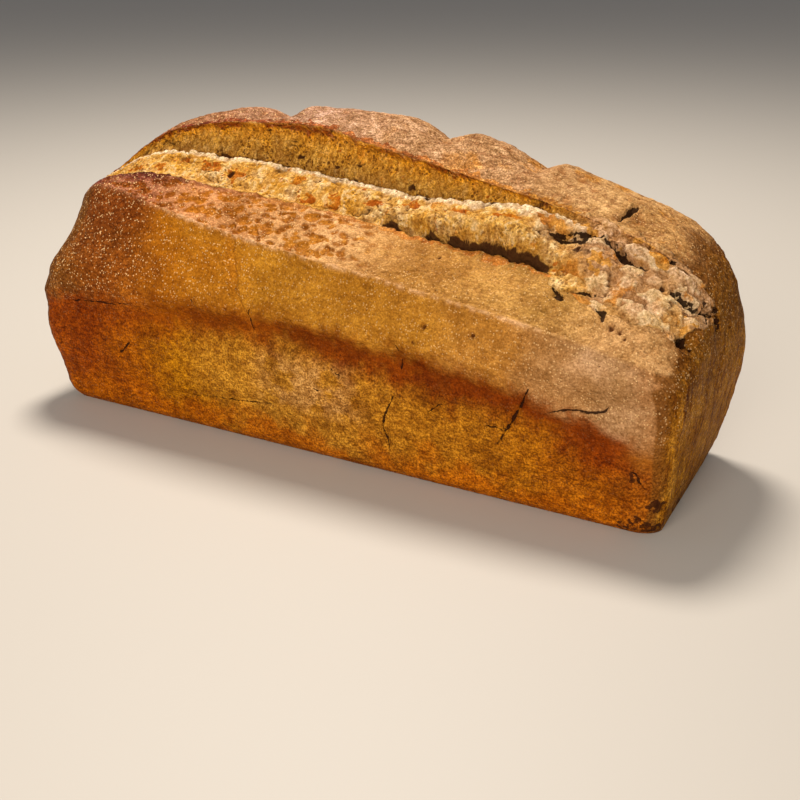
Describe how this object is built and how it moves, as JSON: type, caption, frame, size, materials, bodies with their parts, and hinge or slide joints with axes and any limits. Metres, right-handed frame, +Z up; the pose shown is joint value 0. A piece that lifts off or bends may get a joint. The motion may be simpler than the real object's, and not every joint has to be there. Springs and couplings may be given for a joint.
{
  "type": "tin loaf",
  "caption": "Long baked tin loaf with a flat base, tapering sides and a domed top crust torn open along its length.",
  "frame": {"origin": "centre of the box's bottom, on the flat base the loaf rests on", "axes": "+X along the loaf to its cracked right end, +Y to the back, away from the low front side of the tear, +Z up"},
  "size_m": [0.299, 0.0981, 0.131],
  "materials": {
    "crust": "baked bread crust, matte, golden to dark brown, with pale yellow crumb showing in the tear"
  },
  "bodies": {
    "root": {"loaf": "crust"}
  },
  "joints": []
}
